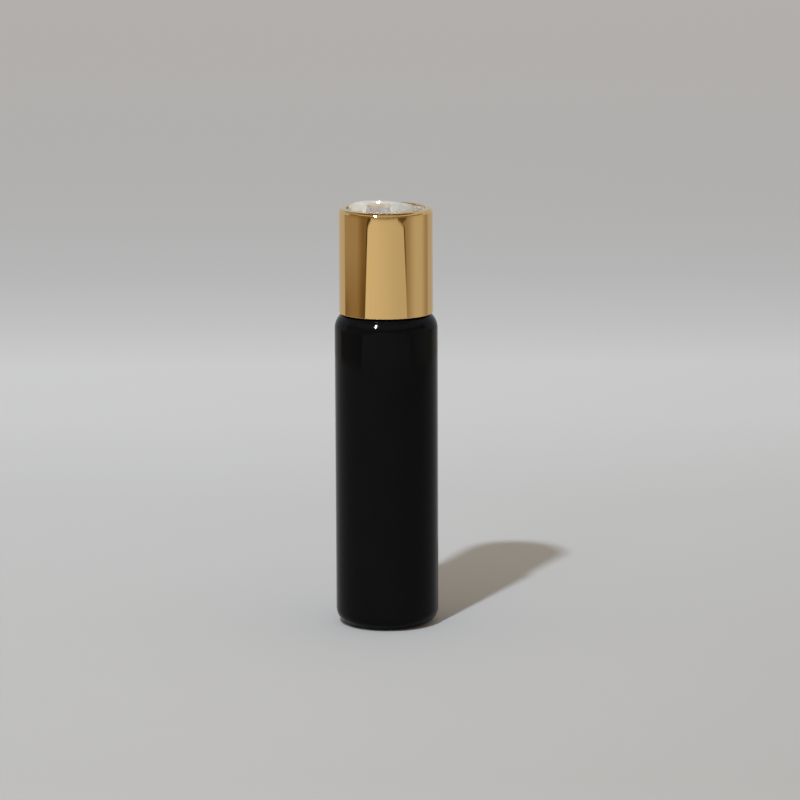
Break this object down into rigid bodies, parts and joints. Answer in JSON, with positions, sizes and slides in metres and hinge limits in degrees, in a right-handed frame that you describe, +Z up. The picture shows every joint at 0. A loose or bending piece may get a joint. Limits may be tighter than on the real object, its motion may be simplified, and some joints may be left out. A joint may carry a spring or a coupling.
{
  "type": "disc top bottle",
  "caption": "Slim round plastic bottle with a metal-shelled screw cap whose round disc rocks open to show a dispensing nozzle.",
  "frame": {"origin": "centre of the standing ring, on the surface that the bottle stands on", "axes": "+Z up along the bottle's axis, nozzle facing -Y, disc pivot along X"},
  "size_m": [0.03, 0.03, 0.126],
  "materials": {
    "bottle_plastic": "glossy black blown plastic",
    "liner_foam": "soft white liner",
    "cap_plastic": "moulded white plastic",
    "gold_shell": "polished gold anodised sheet",
    "disc_plastic": "moulded white plastic"
  },
  "bodies": {
    "bottle": {"bottle": "bottle_plastic"},
    "liner": {"neck_gasket": "liner_foam"},
    "cap": {"cap_body": "cap_plastic", "cap_shell": "gold_shell"},
    "disc": {"tilt_disc": "disc_plastic"}
  },
  "joints": [
    {"name": "cap_lift", "type": "slide", "parent": "bottle", "child": "liner", "axis": [0, 0, 1], "range_m": [0, 0.00477]},
    {"name": "cap_turn", "type": "hinge", "parent": "liner", "child": "cap", "pos_m": [0, 0, 0.1], "axis": [0, 0, 1], "range_deg": [0, 540]},
    {"name": "disc_tilt", "type": "hinge", "parent": "cap", "child": "disc", "pos_m": [0, 0, 0.11977], "axis": [1, 0, 0], "range_deg": [0, 20]}
  ],
  "couplings": [
    {"joint": "cap_lift", "follows": "cap_turn", "m_per_rad": 0.00050532}
  ]
}
